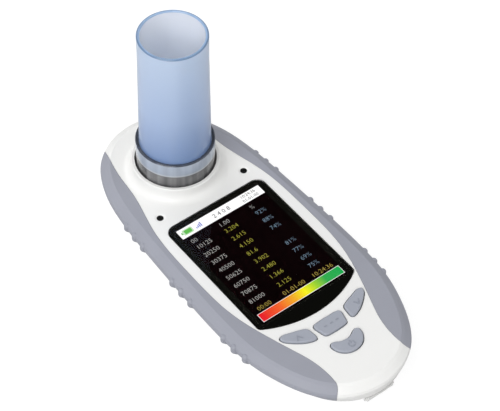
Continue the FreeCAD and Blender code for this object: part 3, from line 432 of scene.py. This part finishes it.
def collar_material():
    material = clear_material("collar_plastic", (0.62, 0.66, 0.72), 0.12, 1.45)
    tree = material.node_tree
    place = add_node(tree, "TexCoord").outputs["Object"]
    height = add_node(tree, "SeparateXYZ", {"Vector": place}).outputs["Z"]
    height = spread(tree, height, collar_foot, collar_top)
    bands = colour_ramp(tree, height, collar_light_and_shade, "EASE")
    upright = add_node(tree, "Mapping", {"Vector": place, "Scale": (1, 1, streak_length)})
    streaks = add_node(tree, "TexNoise", {"Vector": upright.outputs["Vector"], "Scale": 260, "Detail": 2})
    shade = spread(tree, streaks.outputs["Fac"], *streak_noise, *streak_shade)
    streaked = add_node(tree, "VectorMath", {0: bands, "Scale": shade}, operation="SCALE")
    low = spread(tree, height, streaks_end[0], streaks_end[1], streaks_above)
    colour = mix_colours(tree, low, bands, streaked.outputs["Vector"])
    # Painted light and shade: the bands and the streaks. The glow is painted light, for light passing through
    # the collar.
    feed(tree, tree.nodes["Principled BSDF"], {
        "Base Color": colour, "Emission Color": colour, "Emission Strength": 0.04,
        "Transmission Weight": 0.45})
    return material


dress(collar_material(), "turbine_barrel")

# %% [markdown]
# The pieces inside are seldom seen, but the bore, the port and the screw holes look in on some of them.
# Each gets the finish of the real thing. What lies under the glass has a trace of glow, because the
# lamps' light doesn't reach it through the glass. The gasket shares the tone of the black print, which
# covers it in the real thing.

# %% Inner pieces and fasteners
print_glow = {"Emission_Color": (1, 1, 0.8, 1), "Emission_Strength": 0.0035}
panel_glow = {"Emission_Color": (1, 0.4, 0.5, 1), "Emission_Strength": 0.0015}

dress(moulded("display_black", (0.0030, 0.0008, 0.0010), (0.0040, 0.0012, 0.0015), gloss=(0.8, 0.9),
              height=0.05, Specular_IOR_Level=0, **panel_glow), "display_panel")
dress(moulded("display_metal", (0.62, 0.63, 0.65), (0.55, 0.56, 0.58), gloss=(0.25, 0.4),
              grain=1500, Metallic=1), "display_backlight")
dress(moulded("adhesive", (0.02, 0.02, 0.02), (0.03, 0.03, 0.03), gloss=(0.7, 0.8), **print_glow),
      "window_gasket")
dress(moulded("board", (0.010, 0.105, 0.040), (0.014, 0.140, 0.055), gloss=(0.25, 0.35),
              drift=900, grain=900), "main_board", "sensor_board")
dress(moulded("chip", (0.018, 0.018, 0.019), (0.03, 0.03, 0.03), gloss=(0.5, 0.65), grain=5000),
      "board_chips")
dress(moulded("radio", (0.60, 0.61, 0.60), (0.52, 0.53, 0.52), gloss=(0.25, 0.4), Metallic=1),
      "radio_module")
dress(moulded("flex", (0.42, 0.16, 0.02), (0.36, 0.13, 0.02), gloss=(0.25, 0.35)), "display_flex")
dress(moulded("switch", (0.03, 0.03, 0.032), (0.04, 0.04, 0.042), gloss=(0.4, 0.5)), "key_switches")
dress(moulded("silicone", (0.55, 0.56, 0.58), (0.50, 0.51, 0.53), gloss=(0.45, 0.6)), "keypad_mat")
dress(moulded("steel", (0.60, 0.60, 0.61), (0.50, 0.50, 0.51), gloss=(0.22, 0.35), drift=400,
              Metallic=1), "charging_port", "case_screws", "rotor_shaft")
dress(moulded("port_plastic", (0.02, 0.02, 0.02), (0.03, 0.03, 0.03), gloss=(0.4, 0.5)),
      "port_tongue", "battery_plug")
dress(moulded("battery_wrap", (0.42, 0.45, 0.50), (0.36, 0.39, 0.44), gloss=(0.2, 0.35),
              drift=150, Metallic=0.6), "battery")
dress(moulded("foam", (0.03, 0.03, 0.033), (0.05, 0.05, 0.052), gloss=(0.8, 0.95), grain=2000,
              height=1), "battery_pad")
dress(moulded("socket_plastic", (0.03, 0.03, 0.033), (0.04, 0.04, 0.043), gloss=(0.35, 0.5)),
      "turbine_socket")
dress(moulded("sensor_lens", (0.02, 0.008, 0.03), (0.03, 0.012, 0.04), gloss=(0.08, 0.15)),
      "infrared_emitters", "infrared_receivers")
dress(moulded("black_screw", (0.012, 0.012, 0.012), (0.02, 0.02, 0.02), gloss=(0.3, 0.45),
              Metallic=0.8), "face_screws")
dress(moulded("jewel", (0.45, 0.03, 0.08), (0.38, 0.02, 0.06), gloss=(0.05, 0.1)),
      "inlet_bearing", "outlet_bearing")
dress(moulded("seal", (0.015, 0.015, 0.015), (0.02, 0.02, 0.02), gloss=(0.4, 0.55)), "turbine_seal")
dress(moulded("rotor_plastic", (0.03, 0.03, 0.035), (0.04, 0.04, 0.045), gloss=(0.3, 0.4)), "rotor_vane")

# %% [markdown]
# New pieces are small: printed ink, lit marks and raised legends. Each starts as a bmesh, gets its
# place in its own vertices, and rides on the body that carries it.

# %% Turning a bmesh into a piece
def finish_piece(shape, name, material, body):
    bmesh.ops.remove_doubles(shape, verts=shape.verts, dist=1e-7)
    bmesh.ops.recalc_face_normals(shape, faces=shape.faces)
    mesh = bpy.data.meshes.new(name)
    shape.to_mesh(mesh)
    shape.free()
    piece = bpy.data.objects.new(name, mesh)
    piece.data.materials.append(material)
    bpy.context.scene.collection.objects.link(piece)
    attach(piece, body)
    print("piece", name, len(mesh.polygons), "faces")


def raise_faces(shape, faces, lift):
    """Close flat faces into a solid by extruding them upwards."""
    made = bmesh.ops.extrude_face_region(shape, geom=faces)
    corners = [item for item in made["geom"] if isinstance(item, bmesh.types.BMVert)]
    bmesh.ops.translate(shape, verts=corners, vec=(0, 0, lift))


def plate(shape, x_low, x_high, y_low, y_high, z, lift, corner=0.0):
    """A thin flat plate between two corners, with its own corners rounded if asked."""
    made = bmesh.ops.create_grid(shape, x_segments=1, y_segments=1, size=0.5)
    bmesh.ops.scale(shape, vec=(x_high - x_low, y_high - y_low, 1), verts=made["verts"])
    bmesh.ops.translate(shape, vec=((x_low + x_high) / 2, (y_low + y_high) / 2, z), verts=made["verts"])
    faces = list({face for vert in made["verts"] for face in vert.link_faces})
    if corner:
        bmesh.ops.bevel(shape, geom=made["verts"], offset=corner, segments=4, profile=0.5,
                        affect="VERTICES", material=-1)
        faces = [face for face in shape.faces if abs(face.calc_center_median().z - z) < 1e-9
                 and x_low <= face.calc_center_median().x <= x_high
                 and y_low <= face.calc_center_median().y <= y_high]
    raise_faces(shape, faces, lift)


# %% [markdown]
# The display is lit, so its picture is made of emission: white for the bar at the top, yellow and
# grey-blue for the figures. A faint grid of pixels varies each colour, as it does on a real panel.

# %% Lit materials
pixel = 0.18 * mm
pixel_dim = 0.9


def glow(name, colour, strength=1.0):
    """A lit area of the display."""
    material, tree, shader = new_material(name)
    place = add_node(tree, "TexCoord").outputs["Object"]
    dim_colour = (*(part * pixel_dim for part in colour), 1)
    pixels = add_node(tree, "TexChecker", {"Vector": place, "Scale": 1 / pixel, "Color1": (*colour, 1),
                                           "Color2": dim_colour})
    feed(tree, shader, {
        "Base Color": (0.01, 0.01, 0.01, 1), "Roughness": 0.8, "Specular IOR Level": 0,
        "Emission Color": pixels.outputs["Color"], "Emission Strength": strength})
    return material


white_glow = glow("lit_white", (1.0, 1.0, 1.0), 1.2)
grey_glow = glow("lit_grey", (0.55, 0.55, 0.53))
yellow_glow = glow("lit_yellow", (0.46, 0.44, 0.06))
blue_glow = glow("lit_blue_grey", (0.22, 0.33, 0.44))
ink_glow = glow("lit_dark_figures", (0.07, 0.07, 0.08))
green_glow = glow("lit_green", (0.13, 0.55, 0.09))
pale_green_glow = glow("lit_pale_green", (0.62, 0.85, 0.58))
signal_glow = glow("lit_signal_blue", (0.05, 0.10, 0.60))
clock_glow = glow("lit_clock", (0.55, 0.42, 0.08))
print("nine lit colours, in pixels of", round(pixel / mm, 2), "mm")

# %% [markdown]
# The layout of the picture is worked out from the panel: a bar at the top, nine rows of figures in
# three columns, a line for the clock and the coloured scale at the bottom. Every mark is a thin film
# just above the panel.

# %% Layout of the picture
picture_left = -20.9 * mm
picture_right = 20.9 * mm
picture_top = panel_high.y - 2.1 * mm
bar_height = 5.0 * mm
row_pitch = 4.95 * mm
first_row = picture_top - bar_height - 3.0 * mm
head_gap = 0.78
figure_height = 2.1 * mm
column_labels = -19.1 * mm
column_values = -4.9 * mm
column_shares = 11.0 * mm
film = 0.012 * mm
film_z = panel_high.z + 0.008 * mm
mark_z = film_z + film * 1.5
scale_top = picture_top - 53.2 * mm
scale_height = 4.4 * mm
cap_height = 0.69


def figures(shape, text, height, x, y, z, align="LEFT", thin=0.018):
    """Plain figures as flat mesh: the text is scaled to its height and moved to its place."""
    curve = bpy.data.curves.new("figures", "FONT")
    curve.body = text
    curve.align_x = align
    curve.size = 1
    curve.resolution_u = 2
    curve.offset = -thin
    holder = bpy.data.objects.new("figures", curve)
    bpy.context.scene.collection.objects.link(holder)
    bpy.context.view_layer.update()
    mesh = bpy.data.meshes.new_from_object(holder)
    bpy.data.objects.remove(holder)
    mesh.transform(Matrix.Translation((x, y - height / 2, z)) @ Matrix.Scale(height / cap_height, 4))
    part = bmesh.new()
    part.from_mesh(mesh)
    raise_faces(part, part.faces[:], film)
    part.to_mesh(mesh)
    part.free()
    shape.from_mesh(mesh)
    bpy.data.meshes.remove(mesh)


def picture_piece(shape, name, material):
    """A finished mark of the picture, which rides on the case."""
    finish_piece(shape, name, material, "case")


# %% [markdown]
# The bar is white, with a plain number in its middle and a small clock in two lines at its right end.

# %% The bar at the top
bar_line = picture_top - 2.6 * mm
bar_overhang = 0.4 * mm
bar_number_x = 0.3 * mm
small_height = 1.5 * mm
small_x = 14.8 * mm
small_lines = [("10:24:36", picture_top - 1.3 * mm), ("01-01-00", picture_top - 3.6 * mm)]

bar = bmesh.new()
plate(bar, picture_left, picture_right + bar_overhang, picture_top - bar_height, picture_top, film_z, film)
picture_piece(bar, "picture_bar", white_glow)

bar_marks = bmesh.new()
figures(bar_marks, "2 4 0 8", figure_height, bar_number_x, bar_line, mark_z, "CENTER", 0)
for text, y in small_lines:
    figures(bar_marks, text, small_height, small_x, y, mark_z, "CENTER", 0)
picture_piece(bar_marks, "picture_bar_figures", ink_glow)

# %% [markdown]
# At the left end of the bar are a battery with a pale rim and four signal bars that step upwards. Their
# places are in millimetres from the middle of the display.

# %% Battery and signal
battery_y = picture_top - 2.5 * mm
signal_first = -12.9
signal_pitch = 0.8
signal_width = 0.45 * mm
signal_foot = 1.2 * mm
signal_low = -0.5
signal_step = 0.55


def battery_plate(shape, x_low, x_high, half, z, corner=0.0):
    """A plate of the battery sign, with its ends, half height and corner in millimetres."""
    plate(shape, x_low * mm, x_high * mm, battery_y - half * mm, battery_y + half * mm, z, film, corner * mm)


battery_rim = bmesh.new()
battery_plate(battery_rim, -19.1, -14.3, 1.5, mark_z, 0.6)
picture_piece(battery_rim, "picture_battery_rim", pale_green_glow)
battery = bmesh.new()
battery_plate(battery, -18.3, -14.9, 1.0, mark_z + film, 0.3)
battery_plate(battery, -19.8, -19.2, 0.6, mark_z)
picture_piece(battery, "picture_battery", green_glow)

signal = bmesh.new()
for step in range(4):
    x = (signal_first + signal_pitch * step) * mm
    plate(signal, x, x + signal_width, battery_y - signal_foot,
          battery_y + (signal_low + signal_step * step) * mm, mark_z, film)
picture_piece(signal, "picture_signal", signal_glow)

# %% [markdown]
# Below the bar stand three heads and eight rows: grey labels, yellow values and blue-grey shares. They
# are plain numbers that mean nothing. One row has no share.

# %% The rows of figures
label_step = 10125
values = ["3.204", "2.615", "4.150", "81.6", "3.902", "2.480", "1.366", "2.125"]
shares = ["92%", "88%", "74%", "", "81%", "77%", "69%", "75%"]
heads = [("00", column_labels), ("1.00", column_values), ("%", column_shares)]

label_column = bmesh.new()
value_column = bmesh.new()
share_column = bmesh.new()
for head, x in heads:
    figures(label_column, head, figure_height, x, first_row, film_z)
for row, (value, share) in enumerate(zip(values, shares)):
    y = first_row - (head_gap + row) * row_pitch
    figures(label_column, str(label_step * (row + 1)), figure_height, column_labels, y, film_z)
    figures(value_column, value, figure_height, column_values, y, film_z)
    if share:
        figures(share_column, share, figure_height, column_shares, y, film_z)
picture_piece(label_column, "picture_labels", grey_glow)
picture_piece(value_column, "picture_values", yellow_glow)
picture_piece(share_column, "picture_shares", blue_glow)

# %% [markdown]
# The line above the scale is a clock: a short time, a date and a full time.

# %% The clock line
clock_y = scale_top + 2.0 * mm
clock_texts = [("00:00", -18.6 * mm), ("01-01-00", -5.8 * mm), ("10:24:36", 9.0 * mm)]

clock = bmesh.new()
for text, x in clock_texts:
    figures(clock, text, figure_height, x, clock_y, film_z)
picture_piece(clock, "picture_clock", clock_glow)

# %% [markdown]
# The scale runs from red through yellow to green, and a thin white line frames it. The line is a white
# plate under the coloured one, and shows round its edge.

# %% The coloured scale
frame_line = 0.18 * mm
scale_left = picture_left + 0.5 * mm
scale_bottom = scale_top - scale_height
scale_colours = [(0.05, (0.88, 0.012, 0.02)), (0.25, (0.95, 0.13, 0.02)), (0.42, (0.98, 0.45, 0.02)),
                 (0.55, (1.0, 0.93, 0.01)), (0.68, (0.35, 0.70, 0.03)), (0.80, (0.03, 0.44, 0.08)),
                 (1.0, (0.012, 0.43, 0.085))]


def scale_material():
    material = glow("lit_scale", (1, 1, 1))
    tree = material.node_tree
    place = add_node(tree, "TexCoord").outputs["Object"]
    across = add_node(tree, "SeparateXYZ", {"Vector": place}).outputs["X"]
    along = spread(tree, across, picture_left, picture_right)
    feed(tree, tree.nodes["Principled BSDF"], {"Emission Color": colour_ramp(tree, along, scale_colours)})
    return material


scale_edge = bmesh.new()
plate(scale_edge, scale_left, picture_right, scale_bottom, scale_top, film_z, film)
picture_piece(scale_edge, "picture_scale_edge", white_glow)
scale = bmesh.new()
plate(scale, scale_left + frame_line, picture_right - frame_line,
      scale_bottom + frame_line, scale_top - frame_line, film_z + film * 1.2, film)
picture_piece(scale, "picture_scale", scale_material())

# %% [markdown]
# The glass is printed black on its back, outside the lit picture. The print is a thin frame cut to the
# glass's own outline: a copy of the glass is flattened, and the picture's rectangle is taken out of it.

# %% Black print behind the glass
ink_drop = 0.02 * mm
ink_thickness = 0.01 * mm
ink_share = 0.996
ink_margin = 0.4 * mm
ink_margin_below = 0.8 * mm


def border_print():
    ink = bmesh.new()
    ink.from_mesh(nodes["display_window"].data)
    bmesh.ops.remove_doubles(ink, verts=ink.verts, dist=1e-6)
    above = [face for face in ink.faces if face.calc_center_median().z > glass_low.z + 1e-6]
    bmesh.ops.delete(ink, geom=above, context="FACES")
    bmesh.ops.dissolve_faces(ink, faces=ink.faces[:])
    bmesh.ops.translate(ink, verts=ink.verts, vec=(0, 0, -ink_drop))
    middle_y = (glass_low.y + glass_high.y) / 2
    bmesh.ops.scale(ink, verts=ink.verts, vec=(ink_share, ink_share, 1),
                    space=Matrix.Translation((0, -middle_y, 0)))
    x_low = picture_left - ink_margin
    x_high = picture_right + ink_margin
    y_low = scale_top - scale_height - ink_margin_below
    y_high = picture_top + ink_margin
    for point, normal in [((x_low, 0, 0), (1, 0, 0)), ((x_high, 0, 0), (1, 0, 0)),
                          ((0, y_low, 0), (0, 1, 0)), ((0, y_high, 0), (0, 1, 0))]:
        bmesh.ops.bisect_plane(ink, geom=ink.verts[:] + ink.edges[:] + ink.faces[:],
                               plane_co=point, plane_no=normal)
    lit = [face for face in ink.faces
           if x_low < face.calc_center_median().x < x_high
           and y_low < face.calc_center_median().y < y_high]
    bmesh.ops.delete(ink, geom=lit, context="FACES")
    raise_faces(ink, ink.faces[:], ink_thickness)
    return ink


black_ink = moulded("black_ink", (0.0042, 0.0040, 0.0032), (0.005, 0.0048, 0.004), gloss=(0.8, 0.9),
                    height=0.05, Specular_IOR_Level=0, **print_glow)
finish_piece(border_print(), "window_border_ink", black_ink, "case")

# %% [markdown]
# The legends on the keys are moulded in the same grey and stand barely proud. Each is a stroke of even
# width, which follows a run of points.

# %% A raised stroke
legend_sink = 0.1 * mm
legend_lift = 0.26 * mm
legend_width = 0.45 * mm
sharpest_mitre = 0.3
legend_plastic = moulded("legend_plastic", (0.285, 0.305, 0.36), (0.265, 0.285, 0.335), gloss=(0.38, 0.5),
                         drift=90, grain=3400, height=0.2, edge=0.03)


def ribbon(shape, points):
    """A raised stroke along a run of points on a key, with mitred corners."""
    edges = []
    for index, point in enumerate(points):
        before = Vector(points[max(index - 1, 0)])
        after = Vector(points[min(index + 1, len(points) - 1)])
        here = Vector(point)
        into = (here - before).normalized() if index > 0 else (after - here).normalized()
        out = (after - here).normalized() if index < len(points) - 1 else into
        across = Vector((-(into + out).y, (into + out).x)).normalized()
        reach = legend_width / 2 / max(across.dot(Vector((-into.y, into.x))), sharpest_mitre)
        edges.append([shape.verts.new((*(here + side * reach * across), key_top - legend_sink))
                      for side in (1, -1)])
    faces = [shape.faces.new((first[0], first[1], second[1], second[0]))
             for first, second in zip(edges, edges[1:])]
    raise_faces(shape, faces, legend_lift)


print("strokes", round(legend_width / mm, 2), "mm wide")

# %% [markdown]
# The side keys carry an arrow up and an arrow down, the middle key three dashes, and the lowest key the
# usual sign for power: an open ring with a bar in its gap.

# %% Key legends
arrow_half = 1.3 * mm
arrow_foot = 0.9
arrow_tip = 1.1
dash_pitch = 2.9 * mm
dash_half = 0.6 * mm
power_drop = 0.6 * mm
power_radius = 1.3 * mm
power_bar = (0.3 * mm, 1.7 * mm)
power_bends = 24
power_opening = math.radians(80)


def chevron(name, key, direction):
    centre = middle(key)
    shape = bmesh.new()
    ribbon(shape, [(centre.x + across * arrow_half, centre.y + direction * along * mm)
                   for across, along in [(-1, -arrow_foot), (0, arrow_tip), (1, -arrow_foot)]])
    finish_piece(shape, name, legend_plastic, key)


def menu_dashes():
    centre = middle("menu_key")
    shape = bmesh.new()
    for step in (-1, 0, 1):
        x = centre.x + step * dash_pitch
        ribbon(shape, [(x - dash_half, centre.y), (x + dash_half, centre.y)])
    finish_piece(shape, "menu_key_dashes", legend_plastic, "menu_key")


def power_sign():
    centre = middle("power_key")
    place = Vector((centre.x, centre.y - power_drop))
    start = math.pi / 2 + power_opening / 2
    sweep = 2 * math.pi - power_opening
    angles = [start + sweep * step / power_bends for step in range(power_bends + 1)]
    shape = bmesh.new()
    ribbon(shape, [(place.x + power_radius * math.cos(angle), place.y + power_radius * math.sin(angle))
                   for angle in angles])
    ribbon(shape, [(place.x, place.y + power_bar[0]), (place.x, place.y + power_bar[1])])
    finish_piece(shape, "power_key_sign", legend_plastic, "power_key")


chevron("left_key_arrow", "left_key", 1)
chevron("right_key_arrow", "right_key", -1)
menu_dashes()
power_sign()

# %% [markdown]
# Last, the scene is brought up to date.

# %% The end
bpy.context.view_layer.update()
